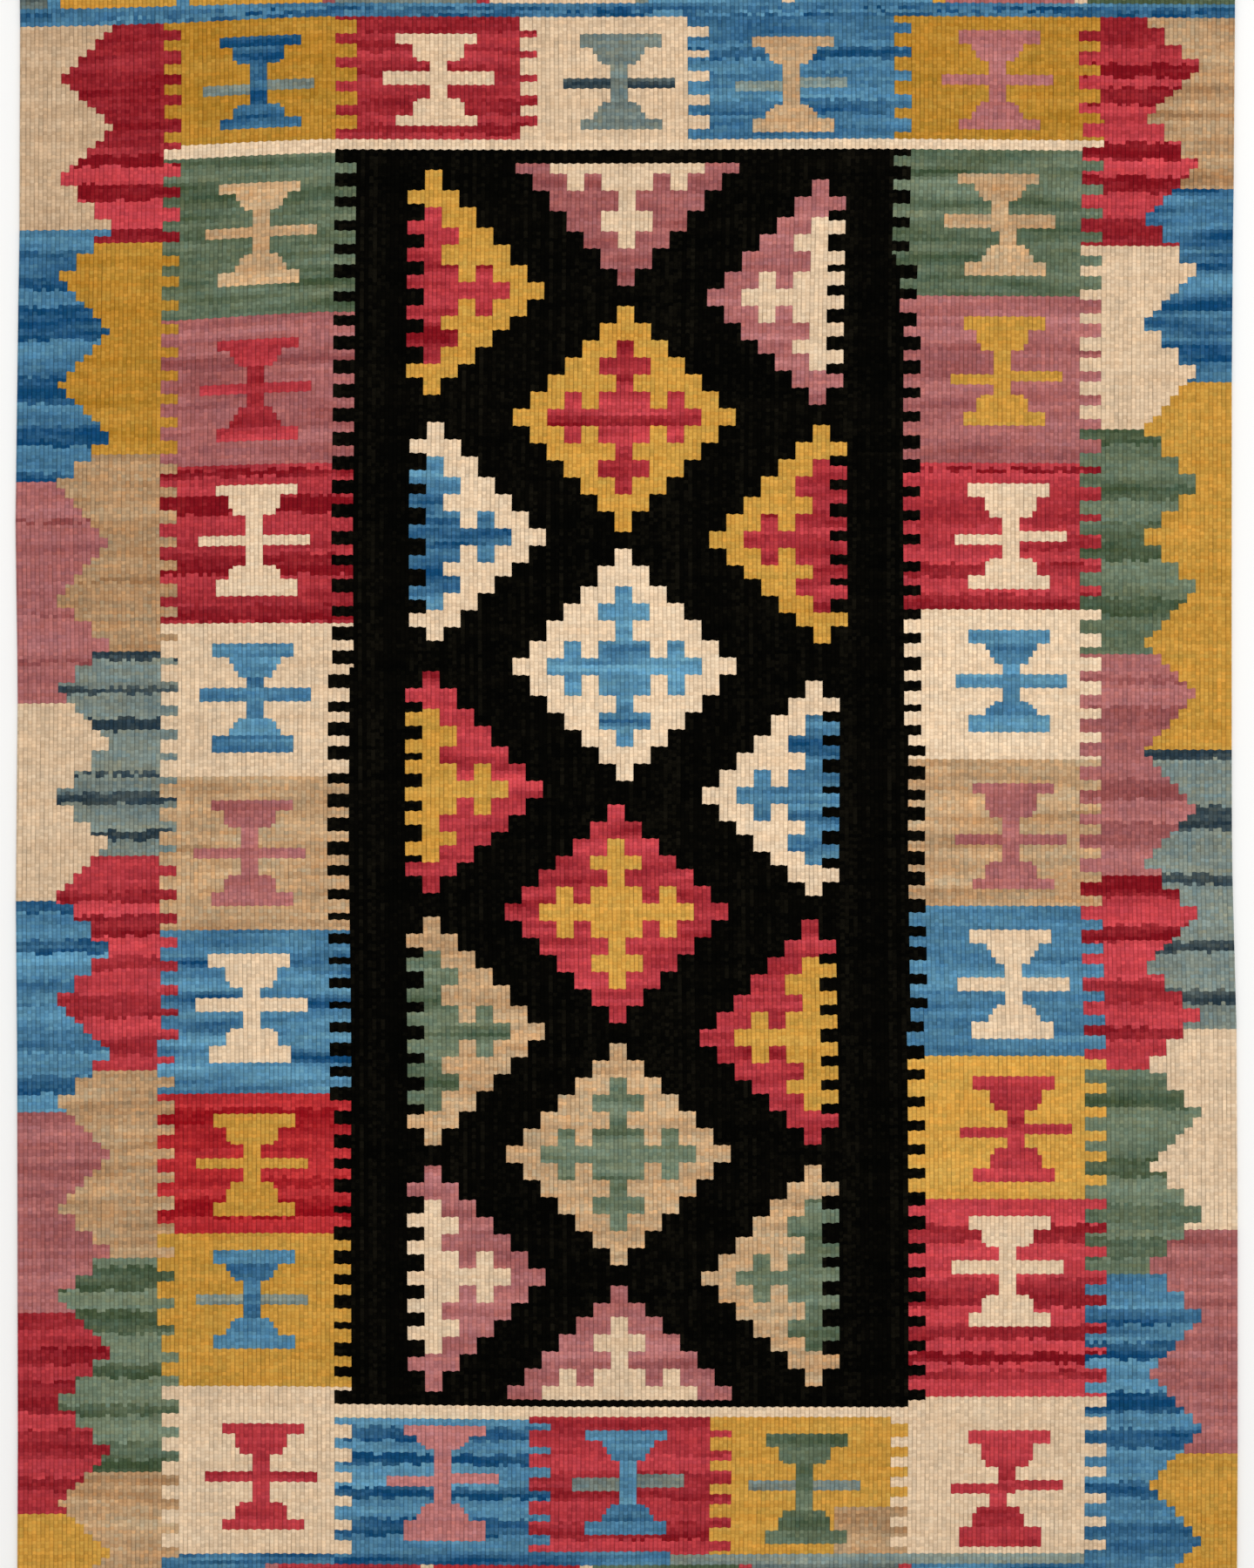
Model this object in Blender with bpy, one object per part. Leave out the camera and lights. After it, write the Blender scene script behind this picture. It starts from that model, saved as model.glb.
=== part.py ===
"""A flat-woven kilim rug lying flat, about 1.00 m wide and 1.54 m long.

The rug is one piece of weft-faced tapestry, so it is one solid. Its warp threads run along
the rug's length (Y) and show on the face as fine parallel ribs. The rug has no pile, no
lining and no fringe: the warp ends are darned back into the plain web at both ends, and each
long side is a round selvedge cord, where the wefts turn round a bundle of warps.

Frame: X across the rug, Y along it, +Z up. The origin is on the floor under the middle.
"""

import bmesh
import bpy
import numpy as np

# Driving dimensions, in metres.
RUG_WIDTH = 1.0000          # mean width over both selvedges
RUG_LENGTH = 1.5415         # end to end, with the plain web at both ends
RIB_COUNT = 280             # warp ribs between the selvedges, about 2.8 to the centimetre
CLOTH_THICKNESS = 0.0030    # floor to the crown of a rib
RIB_DEPTH = 0.0006          # how far the groove between two ribs lies below their crowns
SELVEDGE_WIDTH = 0.0050     # width of the round cord at each side
SELVEDGE_THICKNESS = 0.0034
SELVEDGE_SIDE = 0.45        # share of its thickness where the cord's outer side stands upright
SELVEDGE_TURNS = [0.0, 0.12, 0.35, 0.65, 0.90]  # shares of the cord's width with a point on it
UNDERSIDE_PANEL_RIBS = 20   # ribs spanned by one flat panel of the underside

# How far each side lies outside the mean straight edge, in millimetres, as on the real
# rug. The place is a share of the length, from the end at +Y to the end at -Y.
EDGE_WAVER = [
    # place, left, right
    (0.00, 0.6, 0.8),
    (0.14, -2.2, 0.7),
    (0.24, 0.3, -1.8),
    (0.36, 2.6, -1.9),
    (0.45, 0.7, -2.0),
    (0.54, 2.6, -1.7),
    (0.65, 1.2, 2.8),
    (0.85, 0.7, 3.0),
    (1.00, 1.6, 1.8),
]

# How far each end lies outside the mean straight end, in millimetres, from -X to +X.
END_WAVER = [
    # place, end at +Y, end at -Y
    (0.00, -1.5, 0.8),
    (0.20, 0.8, -0.8),
    (0.45, 0.2, 1.0),
    (0.70, 1.2, -0.6),
    (1.00, -1.0, -1.2),
]

WOOL_COLOUR = (0.335, 0.090, 0.070, 1.0)
MILLIMETRE = 0.001


def remove_everything():
    """Empty the scene, so that the script gives the same result wherever it is run."""
    for old in list(bpy.data.objects):
        bpy.data.objects.remove(old, do_unlink=True)


def wool_material():
    """Plain dull wool in the rug's commonest colour."""
    material = bpy.data.materials.new("wool_weave")
    material.use_nodes = True
    shader = material.node_tree.nodes["Principled BSDF"]
    shader.inputs["Base Color"].default_value = WOOL_COLOUR
    shader.inputs["Roughness"].default_value = 0.95
    shader.inputs["Metallic"].default_value = 0.0
    return material


def section_across():
    """Profile of the top across the rug: share of the width, and height, at each column.

    The selvedge cord is the upper part of a round, whose height over its width is
    sqrt(1 - (2 turn - 1)^2). Each rib between the cords is a crown between two grooves.
    """
    turns = np.array(SELVEDGE_TURNS)
    rise = np.sqrt(1.0 - (2.0 * turns - 1.0) ** 2)
    cord_share = SELVEDGE_WIDTH / RUG_WIDTH
    cord = cord_share * turns
    cord_heights = SELVEDGE_THICKNESS * (SELVEDGE_SIDE + (1.0 - SELVEDGE_SIDE) * rise)
    half_ribs = np.arange(2 * RIB_COUNT + 1)
    ribs = cord_share + (1.0 - 2.0 * cord_share) * half_ribs / (2 * RIB_COUNT)
    rib_heights = CLOTH_THICKNESS - RIB_DEPTH * (half_ribs % 2 == 0)
    shares = np.concatenate([cord, ribs, 1.0 - cord[::-1]])
    heights = np.concatenate([cord_heights, rib_heights, cord_heights[::-1]])
    return shares, heights


def outline_point(across, along):
    """Place on the rug's outline grid for shares from -X to +X and from +Y to -Y."""
    place, left, right = np.array(EDGE_WAVER).T
    left_x = -RUG_WIDTH / 2 - MILLIMETRE * np.interp(along, place, left)
    right_x = RUG_WIDTH / 2 + MILLIMETRE * np.interp(along, place, right)
    place, far, near = np.array(END_WAVER).T
    far_y = RUG_LENGTH / 2 + MILLIMETRE * np.interp(across, place, far)
    near_y = -RUG_LENGTH / 2 - MILLIMETRE * np.interp(across, place, near)
    return left_x + (right_x - left_x) * across, far_y + (near_y - far_y) * along


def wall_under_ribs(ridge, floor_left, floor_right):
    """Faces of an end wall under a run of ribs, between two vertices of the underside.

    The ridge runs groove, crown, groove and so on. Each crown is one triangle, and below the
    grooves lie two fans that meet in the middle of the run.
    """
    faces = list(zip(ridge[0:-2:2], ridge[1::2], ridge[2::2]))
    grooves = ridge[::2]
    middle = len(grooves) // 2
    faces += [(floor_left, a, b) for a, b in zip(grooves[:middle], grooves[1:middle + 1])]
    faces.append((floor_left, grooves[middle], floor_right))
    faces += [(floor_right, a, b) for a, b in zip(grooves[middle:-1], grooves[middle + 1:])]
    return faces


def weave_rug():
    """Build the rug as one closed solid: ribbed top, flat underside, four edge walls."""
    shares, heights = section_across()
    stations = [row[0] for row in EDGE_WAVER]
    columns = len(shares)

    # The underside has few columns: those of the selvedges, and one every few ribs.
    first_groove = len(SELVEDGE_TURNS)
    last_groove = columns - 1 - first_groove
    floor_columns = list(range(first_groove))
    floor_columns += range(first_groove, last_groove, 2 * UNDERSIDE_PANEL_RIBS)
    floor_columns += range(last_groove, columns)

    rug = bmesh.new()
    top = []
    floor = []
    for along in stations:
        places = [outline_point(across, along) for across in shares]
        top.append([rug.verts.new((x, y, z)) for (x, y), z in zip(places, heights)])
        floor.append([rug.verts.new((*places[k], 0.0)) for k in floor_columns])

    faces = []
    for sheet in (top, floor):
        for far_row, near_row in zip(sheet[:-1], sheet[1:]):
            faces += zip(far_row[:-1], near_row[:-1], near_row[1:], far_row[1:])
    for side in (0, -1):
        for r in range(len(stations) - 1):
            faces.append((top[r][side], floor[r][side], floor[r + 1][side], top[r + 1][side]))
    for end in (0, -1):
        for f, (start, stop) in enumerate(zip(floor_columns[:-1], floor_columns[1:])):
            ridge = top[end][start:stop + 1]
            if stop == start + 1:
                faces.append((ridge[0], floor[end][f], floor[end][f + 1], ridge[1]))
            else:
                faces += wall_under_ribs(ridge, floor[end][f], floor[end][f + 1])
    for corners in faces:
        rug.faces.new(corners)

    bmesh.ops.triangulate(rug, faces=rug.faces[:])
    bmesh.ops.recalc_face_normals(rug, faces=rug.faces[:])
    mesh = bpy.data.meshes.new("rug")
    rug.to_mesh(mesh)
    rug.free()
    piece = bpy.data.objects.new("rug", mesh)
    piece.data.materials.append(wool_material())
    bpy.context.collection.objects.link(piece)
    return piece


remove_everything()
weave_rug()
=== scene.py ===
# %% [markdown]
# # A small flat-woven rug, from its weaving chart to its wool
#
# A kilim is a rug without pile. Its coloured wefts cover the warps completely, so the face is
# made of fine ribs that run along the rug, and every patch of colour ends between two ribs or
# between two rows of weft. The lesson takes the size and the grid of ribs and rows first, then
# the chart of colours, then the cloth, and last the wool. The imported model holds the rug's
# plain solid, which the woven cloth replaces.

import bpy
import numpy as np
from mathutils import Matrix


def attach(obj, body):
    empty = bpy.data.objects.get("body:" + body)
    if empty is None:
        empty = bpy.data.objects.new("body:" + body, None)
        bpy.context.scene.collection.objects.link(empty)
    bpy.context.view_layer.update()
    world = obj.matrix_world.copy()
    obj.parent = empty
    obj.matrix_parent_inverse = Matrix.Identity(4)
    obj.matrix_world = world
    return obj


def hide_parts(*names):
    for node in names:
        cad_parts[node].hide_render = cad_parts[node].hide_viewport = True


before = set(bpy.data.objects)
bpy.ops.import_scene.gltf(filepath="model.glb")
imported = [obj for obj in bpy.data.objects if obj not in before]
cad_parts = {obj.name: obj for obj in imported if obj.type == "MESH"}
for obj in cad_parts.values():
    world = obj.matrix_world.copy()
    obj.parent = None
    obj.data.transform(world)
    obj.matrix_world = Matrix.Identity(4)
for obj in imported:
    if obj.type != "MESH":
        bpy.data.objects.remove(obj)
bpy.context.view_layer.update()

# %% [markdown]
# ## The size of the cloth
#
# The rug is about 1.00 m wide and 1.54 m long, with 280 ribs between two round side cords. A
# stitch of weft on one rib is called a float here. It is 2.8 mm long, and the floats of odd and
# even ribs lie a little apart, as bricks do. All sizes are in metres, and a name that ends in
# MM holds millimetres.

# %% Sizes of the rug
MM = 0.001
WIDTH = 1.0000            # mean width over both cords
LENGTH = 1.5415           # end to end
RIBS = 280                # ribs between the cords
ROWS = 550                # floats along each rib
FLOAT_MM = 1000 * LENGTH / ROWS
BRICK_SHIFT = 0.17        # share of a float by which odd ribs move one way, even ones the other
CLOTH_THICKNESS = 0.0030
RIB_DEPTH = 0.0006        # groove between two ribs, below their crowns
CORD_WIDTH = 0.0050       # round cord at each side
CORD_THICKNESS = 0.0034
CORD_SIDE = 0.45          # share of its thickness where the cord's side stands upright
CORD_TURNS = [0.0, 0.12, 0.35, 0.65, 0.90]  # shares of its width with a column of points
END_THINNING = 0.55       # thickness left at the rounded ends of the cloth

print(f"one rib is {1000 * (WIDTH - 2 * CORD_WIDTH) / RIBS:.2f} mm wide, one float {FLOAT_MM:.2f} mm long")

# %% [markdown]
# ## The waver of a hand-woven cloth
#
# The sides of a hand-woven rug draw in and spread by a few millimetres, and the weft rows rise
# and dip where the weaver packed one side harder. These tables give the offset at a few
# stations, and straight lines join them. "Along" is a share of the length from the far end
# (+Y), "across" a share of the width from the left (-X).

# %% Waver of the sides, the ends and the weft rows
EDGE_WAVER_MM = [
    # along, left side outwards, right side outwards
    (0.00, 0.6, 0.8),
    (0.14, -2.2, 0.7),
    (0.24, 0.3, -1.8),
    (0.36, 2.6, -1.9),
    (0.45, 0.7, -2.0),
    (0.54, 2.6, -1.7),
    (0.65, 1.2, 2.8),
    (0.85, 0.7, 3.0),
    (1.00, 1.6, 1.8),
]
END_WAVER_MM = [
    # across, far end outwards, near end outwards
    (0.00, -1.5, 0.8),
    (0.20, 0.8, -0.8),
    (0.45, 0.2, 1.0),
    (0.70, 1.2, -0.6),
    (1.00, -1.0, -1.2),
]
ROW_WAVER_ACROSS = [0.00, 0.06, 0.13, 0.25, 0.70, 1.00]
ROW_WAVER_MM = [
    # along, then how far the rows lie towards the near end at each place across
    (0.000, 0, 0, 0, 0, 0, 0),
    (0.083, 3, 3, 2, 0, 0, 0),
    (0.0915, 7, 6.5, 5, 0, 0, 0),
    (0.160, 6, 6, 5, 0, 0, 1),
    (0.245, 6, 6, 6, -1, 0, 0),
    (0.330, 3, 3, 3, 0, 0, 0),
    (0.410, 0, 0, 0, 0, 0, 0),
    (0.760, 0, 0, 0, 0, 0, 0),
    (0.830, -1, -1, -1, 0, 3, 3),
    (0.910, 0, 0, 0, 0, 0, 0),
    (1.000, 0, 0, 0, 0, 0, 0),
]
RIB_WANDER_MM = 0.5     # how far a rib strays sideways in the middle of the cloth
RIB_WANDER_WAVES = 3.3  # waves of that along the length


def row_waver(across, along):
    """Offset of a weft row towards the near end, in mm: the table read by straight-line
    interpolation across the width in each line, and then between the lines."""
    stations = np.array([line[0] for line in ROW_WAVER_MM])
    lines = np.array([np.interp(across, ROW_WAVER_ACROSS, line[1:]) for line in ROW_WAVER_MM])
    above = np.clip(np.searchsorted(stations, along, side="right") - 1, 0, len(stations) - 2)
    share = (along - stations[above]) / (stations[above + 1] - stations[above])
    column = np.arange(lines.shape[1])
    return lines[above, column] * (1 - share) + lines[above + 1, column] * share


def place_on_floor(across, along):
    """X and Y for shares across and along the cloth: a straight-line blend of the wavering
    edges, plus the waver of the weft rows and the wander of the ribs."""
    station, left, right = np.array(EDGE_WAVER_MM).T
    left_x = -WIDTH / 2 - MM * np.interp(along, station, left)
    right_x = WIDTH / 2 + MM * np.interp(along, station, right)
    station, far, near = np.array(END_WAVER_MM).T
    far_y = LENGTH / 2 + MM * np.interp(across, station, far)
    near_y = -LENGTH / 2 - MM * np.interp(across, station, near)
    wander = RIB_WANDER_MM * np.sin(2 * np.pi * (RIB_WANDER_WAVES * along + across)) * np.sin(np.pi * across)
    x = left_x + (right_x - left_x) * across + MM * wander
    y = far_y + (near_y - far_y) * along - MM * row_waver(across, along)
    return x, y


# %% [markdown]
# ## Columns of the cloth
#
# Each rib has a crown in its middle and shares the groove at each side with its neighbour, and
# each side cord has a few columns around it. To turn a measured place into a row number, the
# chart needs to know how far down the rug each row lies at each rib.

# %% Columns across the cloth
cord_share = CORD_WIDTH / WIDTH
half_ribs = np.arange(2 * RIBS + 1)
cord_turns = np.array(CORD_TURNS)
column_share = np.concatenate([
    cord_share * cord_turns,
    cord_share + (1 - 2 * cord_share) * half_ribs / (2 * RIBS),
    1 - cord_share * cord_turns[::-1],
])
FIRST_GROOVE = len(CORD_TURNS)
COLUMNS = len(column_share)
rib_share = cord_share + (1 - 2 * cord_share) * (np.arange(RIBS) + 0.5) / RIBS
rows = np.arange(ROWS)[:, None]
ribs = np.arange(RIBS)[None, :]
level_mm = np.array([
    1000 * (LENGTH / 2 - place_on_floor(rib_share, np.full(RIBS, row / ROWS))[1])
    for row in range(ROWS + 1)
])

print(COLUMNS, "columns, and row lines from", level_mm.min().round(1), "to", level_mm.max().round(1), "mm")


def row_at(down_mm, rib):
    """Number of the row line that lies nearest to a distance from the far end, at one rib."""
    rib = int(np.clip(rib, 0, RIBS - 1))
    return int(np.abs(level_mm[:, rib] - down_mm).argmin())


# %% [markdown]
# ## The yarns
#
# The wool is dyed by hand in small lots, so each colour runs from a deep dye to a pale one. An
# area of the chart has a yarn, a shade and a streakiness. The streaks that this gives across
# the rug are called abrash.

# %% Yarns, from deep to pale
YARNS = {
    # name: (deep sRGB, pale sRGB, streakiness, drift of hue), the colours as seen in cloth
    "undyed": ((190, 166, 134), (224, 204, 174), 0.3, 0.04),
    "cream": ((184, 154, 122), (230, 205, 174), 0.26, 0.04),
    "beige": ((148, 112, 78), (203, 170, 131), 0.8, 0.15),
    "yellow": ((162, 114, 32), (212, 162, 76), 0.32, 0.10),
    "red": ((122, 16, 26), (206, 74, 82), 0.85, 0.06),
    "scarlet": ((140, 14, 24), (212, 66, 68), 0.75, 0.06),
    "mauve": ((134, 70, 70), (188, 122, 120), 0.75, 0.08),
    "blue": ((14, 66, 106), (104, 157, 184), 0.95, 0.1),
    "slate": ((38, 54, 64), (136, 147, 138), 0.7, 0.15),
    "green": ((60, 76, 52), (124, 137, 115), 0.8, 0.11),
    "black": ((2, 2, 1), (17, 14, 8), 0.3, 0.0),
}
areas = []  # one line for each area of the chart: yarn, shade, streaks, drift
chart = np.zeros((ROWS, RIBS), int)
rng = np.random.default_rng(27)


def new_area(yarn, shade, calm=1.0):
    """Start an area of one lot of yarn: shade 0 is its deepest dye and 1 its palest, and calm
    multiplies its streakiness. Gives the area's number."""
    areas.append((yarn, shade, calm * YARNS[yarn][2], YARNS[yarn][3]))
    return len(areas) - 1


# %% [markdown]
# ## Working the chart
#
# The chart is an array with a line for each row and a column for each rib, filled by masks. A
# long upright join between two colours would leave a slit in the cloth, so the weaver lets a
# few rows of each side reach over the other in turn, like the teeth of a comb.

# %% Blocks, lots and combs
LOT_END_RIBS = 3.5     # ribs from one place to the next where a lot's end moves by a row
LOT_CALM = 0.52        # streakiness of one lot where several follow each other
TOOTH_UNEVEN_MM = 1.2  # how far a tooth of a comb starts or ends from its place


def block(left, right, first, last):
    """Mask of the floats between two ribs and two row lines. Left and right may be columns of
    rib numbers, one for each row."""
    return (ribs >= left) & (ribs < right) & (rows >= first) & (rows < last)


def weave(yarn, lots, left, right, top_mm):
    """Fill a block below a distance from the far end, and give its lower end. Lots is {down to:
    shade in percent}, with more than one entry where the weaver took a paler or deeper lot in
    between. Such a change is no clean line: every few ribs it moves by a row."""
    rib = (np.mean(left) + np.mean(right)) / 2
    bottom_mm = list(lots)[-1]
    calm = 1.0 if len(lots) == 1 else LOT_CALM
    first = row_at(top_mm, rib)
    for down_mm, shade in lots.items():
        last = row_at(down_mm, rib)
        if down_mm != bottom_mm:
            last = last + np.cumsum(rng.random(RIBS) < 1 / LOT_END_RIBS)[None, :] % 2
        chart[block(left, right, first, last)] = new_area(yarn, shade / 100, calm)
        first = last
    return bottom_mm


def weave_down(column, left, right, top_mm):
    """Weave pairs of a yarn and its lots below each other."""
    for yarn, lots in column:
        top_mm = weave(yarn, lots, left, right, top_mm)


def comb_join(places, every_tenth_mm, tooth_mm, seed):
    """Column with the rib where the left one of two yarns stops in each row: the outer rib in
    a tooth and the inner rib in a gap, from places, a table of (down, inner rib, outer rib).
    Every tenth tooth starts at a measured place, the others are spread evenly between them, and
    each end lies a little off its place."""
    uneven = np.random.default_rng(seed)
    count = 10 * (len(every_tenth_mm) - 1)
    starts = np.interp(np.arange(count), 10 * np.arange(len(every_tenth_mm)), every_tenth_mm)
    ends = np.stack([starts, starts + tooth_mm], axis=1).ravel()
    ends += uneven.uniform(-TOOTH_UNEVEN_MM, TOOTH_UNEVEN_MM, len(ends))
    down, inner, outer = np.array(places, float).T
    level = level_mm[:-1, int(inner[0])] + FLOAT_MM / 2
    in_tooth = np.searchsorted(ends, level) % 2 == 1
    reach = np.where(in_tooth, np.interp(level, down, outer), np.interp(level, down, inner))
    return np.round(reach).astype(int)[:, None]


# %% The four long joins
JOINS = {
    # name: (places, start of every tenth tooth, tooth, seed), in mm from the far end
    "left border": (
        [(0, 32, 36), (950, 32, 36), (1010, 31, 35), (1200, 31, 35), (1250, 32, 36)],
        [-45, 150, 335, 527, 725, 915, 1110, 1320, 1515, 1710], 8.8, 1),
    "left field": (
        [(0, 72, 77), (650, 72, 77), (700, 71, 76), (1000, 71, 76), (1080, 72, 76)],
        [67, 259, 451, 653, 847, 1030, 1221, 1413], 9.9, 2),
    "right field": (
        [(0, 202, 206), (330, 202, 206), (350, 204, 208), (440, 205, 209), (700, 205, 209),
         (760, 206, 210), (930, 206, 210), (1000, 205, 209)],
        [64, 264, 464, 668, 845, 1047, 1247, 1447], 9.3, 3),
    "right border": (
        [(0, 245, 250), (450, 246, 251), (1542, 246, 251)],
        [-54, 141, 336, 527, 728, 921, 1111, 1313, 1510, 1705], 9.0, 4),
}
joins = {name: comb_join(*line) for name, line in JOINS.items()}
left_border, left_field, right_field, right_border = joins.values()

for name, join in joins.items():
    print(name, "has", int((np.diff(join[:, 0]) > 1).sum()), "teeth")

# %% [markdown]
# ## The side borders
#
# Each side border has two ranks of shapes that lock together along a stepped edge. It goes out
# and in by four ribs at a time, with six steps from one point to the next. So it is a zigzag
# rounded to whole steps: between two points, the place is counted from 0 to 6, and the distance
# from the nearer point gives the rib.

# %% The stepped edges of the side borders
STEP_RIBS = 4
FINE_STEPS_IN = 0.75   # how often the edge goes in by fine steps
FINE_STEPS_OUT = 0.35  # how often it comes out by them
LEFT_POINTS_MM = [107, 191, 272, 355, 443, 525, 619, 693, 781, 862, 951, 1033, 1119, 1193, 1279, 1362,
                  1446, 1530]
RIGHT_POINTS_MM = [99, 183, 262, 349, 433, 524, 611, 697, 791, 878, 961, 1042, 1125, 1209, 1301, 1393,
                   1478, 1560]
LEFT_POINT_RIB = 8  # rib that the inner shapes' points reach on the left
RIGHT_POINT_RIB = 273


def stepped_edge(points_mm, point_rib, inwards):
    """Rib of a stepped edge in each row: the point's rib plus four ribs inwards for each step
    between the row and the nearer point. Going in, and now and then coming out, the weaver
    moved two ribs at a time instead, in steps half as high."""
    level = level_mm[:-1, point_rib] + FLOAT_MM / 2
    points = np.array(points_mm, float)
    above = np.clip(np.searchsorted(points, level) - 1, 0, len(points) - 2)
    place = 6 * (level - points[above]) / (points[above + 1] - points[above])
    fine_steps = rng.random((len(points), 2)) < [FINE_STEPS_IN, FINE_STEPS_OUT]
    is_fine = fine_steps[above, (place > 3).astype(int)]
    step = np.where(is_fine, np.round(2 * place) / 2, np.round(place))
    from_point = np.clip(np.minimum(step, 6 - step), 0, 3)
    return (point_rib + inwards * STEP_RIBS * from_point).astype(int)[:, None]


left_steps = stepped_edge(LEFT_POINTS_MM, LEFT_POINT_RIB, 1)
right_steps = stepped_edge(RIGHT_POINTS_MM, RIGHT_POINT_RIB, -1)

# %% The shapes of the side borders
SIDE_TOP_MM = 140
CLOTH_END_MM = 1517.5  # here the plain web of the near end starts
# Besides the lots of dye, these shades are partly painted shade: areas near the edges, and most of all on
# the left, are set deeper than those near the middle, painting the light falling off towards the sides.
LEFT_OUTER = [
    # yarn, then how far down each lot of it goes, in mm, and its shade in percent
    ("cream", {315: 15}),
    ("blue", {332: 42, 362: 8, 377: 42, 405: 6, 434: 44, 457: 10, 477: 44, 493: 3, 514: 44, 521: 10}),
    ("mauve", {553: 50, 556: 0, 628: 45, 632: 10, 667: 55, 672: 10, 703: 45}),
    ("cream", {868: 45}),
    ("blue", {875: 10, 898: 55, 909: 10, 932: 70, 950: 40, 971: 60, 989: 35, 1011: 65, 1025: 12,
        1041: 70}),
    ("mauve", {1205: 45}),
    ("red", {1216: 20, 1234: 50, 1248: 10, 1262: 50, 1286: 20, 1300: 65, 1322: 20, 1340: 60, 1352: 20,
        1372: 45}),
    ("yellow", {CLOTH_END_MM: 55}),
]
LEFT_INNER = [
    ("red", {244: 10, 252: 30, 260: 0, 275: 65, 289: 0, 314: 70, 325: 5}),
    ("yellow", {499: 25}),
    ("beige", {600: 33, 604: 0, 661: 28}),
    ("slate", {668: 0, 689: 70, 696: 5, 716: 75, 726: 5, 759: 70, 764: 10, 778: 55, 786: 5, 807: 70,
        817: 5, 830: 70}),
    ("red", {857: 50, 865: 15, 878: 72, 894: 8, 910: 75, 921: 20, 943: 60, 961: 30, 978: 65, 993: 25,
        1006: 50}),
    ("beige", {1161: 45}),
    ("green", {1166: 60, 1185: 15, 1201: 70, 1222: 15, 1246: 70, 1259: 15, 1280: 75, 1289: 15, 1312: 70,
        1324: 40, 1337: 10}),
    ("beige", {CLOTH_END_MM: 50}),
]
RIGHT_OUTER = [
    ("beige", {281: 35}),
    ("blue", {439: 30}),
    ("yellow", {742: 50}),
    ("slate", {747: 0, 786: 80, 807: 5, 842: 75, 852: 10, 900: 80, 908: 10, 939: 80, 951: 5, 973: 65}),
    ("cream", {1136: 60}),
    ("mauve", {1320: 45}),
    ("yellow", {CLOTH_END_MM: 50}),
]
RIGHT_INNER = [
    ("red", {162: 12, 176: 50, 189: 5, 198: 60, 211: 10, 241: 65, 257: 5, 270: 65, 284: 8, 303: 60,
        328: 15}),
    ("cream", {479: 55}),
    ("green", {490: 10, 524: 45, 536: 20, 556: 50, 568: 30, 586: 15, 617: 60, 630: 10, 663: 40}),
    ("mauve", {681: 60, 686: 20, 706: 60, 725: 25, 766: 50, 783: 20, 801: 65, 821: 30, 847: 60}),
    ("red", {862: 5, 886: 75, 900: 12, 930: 80, 951: 35, 968: 70, 981: 25, 1006: 60}),
    ("green", {1021: 50, 1037: 15, 1079: 60, 1093: 15, 1116: 65, 1129: 30, 1143: 60, 1159: 25, 1175: 60}),
    ("blue", {1188: 45, 1200: 65, 1215: 25, 1229: 50, 1243: 15, 1270: 70, 1286: 10, 1299: 55, 1315: 15,
        1344: 55, 1358: 25, 1376: 50, 1405: 30, CLOTH_END_MM: 45}),
]

chart[:] = new_area("undyed", 0.6)
weave_down(LEFT_OUTER, 0, left_steps, SIDE_TOP_MM)
weave_down(LEFT_INNER, left_steps, left_border, SIDE_TOP_MM)
weave_down(RIGHT_INNER, right_border, right_steps, SIDE_TOP_MM)
weave_down(RIGHT_OUTER, right_steps, RIBS, SIDE_TOP_MM)

print(len(areas), "areas in the side borders")

# %% [markdown]
# ## The end borders
#
# The same stepped shapes run across both ends, past a guard stripe. Only the edge of these
# borders was seen, so the rest is a guess in the same manner: steps of 14 mm, a band of the
# outer colour, and a plain web of undyed wool, where the warp ends are darned back in.

# %% The end borders
END_STEP_MM = 14.3
FAR_GUARD_MM = (128.3, 141)  # far edge and near edge of the far guard stripe
NEAR_GUARD_MM = (1403.2, 1413.0)
SLATE_FROM_RIB = 150         # from here on the near guard is slate
FAR_WEB_MM = 24.0
FAR_NOTCHES = [6, 36, 70, 106, 143, 177, 212, 245]
FAR_BASES = ["slate", "yellow", "yellow", "slate", "cream", "blue", "blue", "mauve", "green"]
FAR_OUTERS = ["blue", "blue", "mauve", "red", "slate", "cream", "yellow", "cream"]
NEAR_NOTCHES = [57, 93, 130, 167, 204]
NEAR_BASES = ["blue", "red", "scarlet", "green", "slate", "blue"]
NEAR_OUTERS = ["mauve", "cream", "cream", "red", "red"]


def steps_from_notch(notches):
    """Height of each rib's base shape, in steps: none in a notch four ribs wide, and one more
    for every four ribs away from it, up to four."""
    distance = np.abs(np.arange(RIBS)[:, None] - notches).min(axis=1)
    return np.clip((distance + 2) // STEP_RIBS, 0, 4)


def weave_end(guard_mm, end_mm, notches, bases, outers, left, right):
    """Weave one end border between its guard stripe and the plain web: the bands of the outer
    colours, one around each notch, then the stepped base shapes between the notches."""
    notches = np.array(notches)
    guard_row = row_at(guard_mm, RIBS / 2)
    end_row = row_at(end_mm, RIBS / 2)
    if end_mm > guard_mm:
        from_guard = rows - guard_row
        from_end = end_row - 1 - rows
    else:
        from_guard = guard_row - 1 - rows
        from_end = rows - end_row
    inside = (from_guard >= 0) & (from_end >= 0) & (ribs >= left) & (ribs < right)
    in_base = inside & (from_guard < steps_from_notch(notches) * round(END_STEP_MM / FLOAT_MM))
    outer_of_rib = np.searchsorted((notches[1:] + notches[:-1]) / 2, ribs)
    base_of_rib = np.searchsorted(notches, ribs, side="right")
    for mask, shape_of_rib, yarns in [(inside, outer_of_rib, outers), (in_base, base_of_rib, bases)]:
        for number, yarn in enumerate(yarns):
            chart[mask & (shape_of_rib == number)] = new_area(yarn, rng.uniform(0.3, 0.6))


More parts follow.
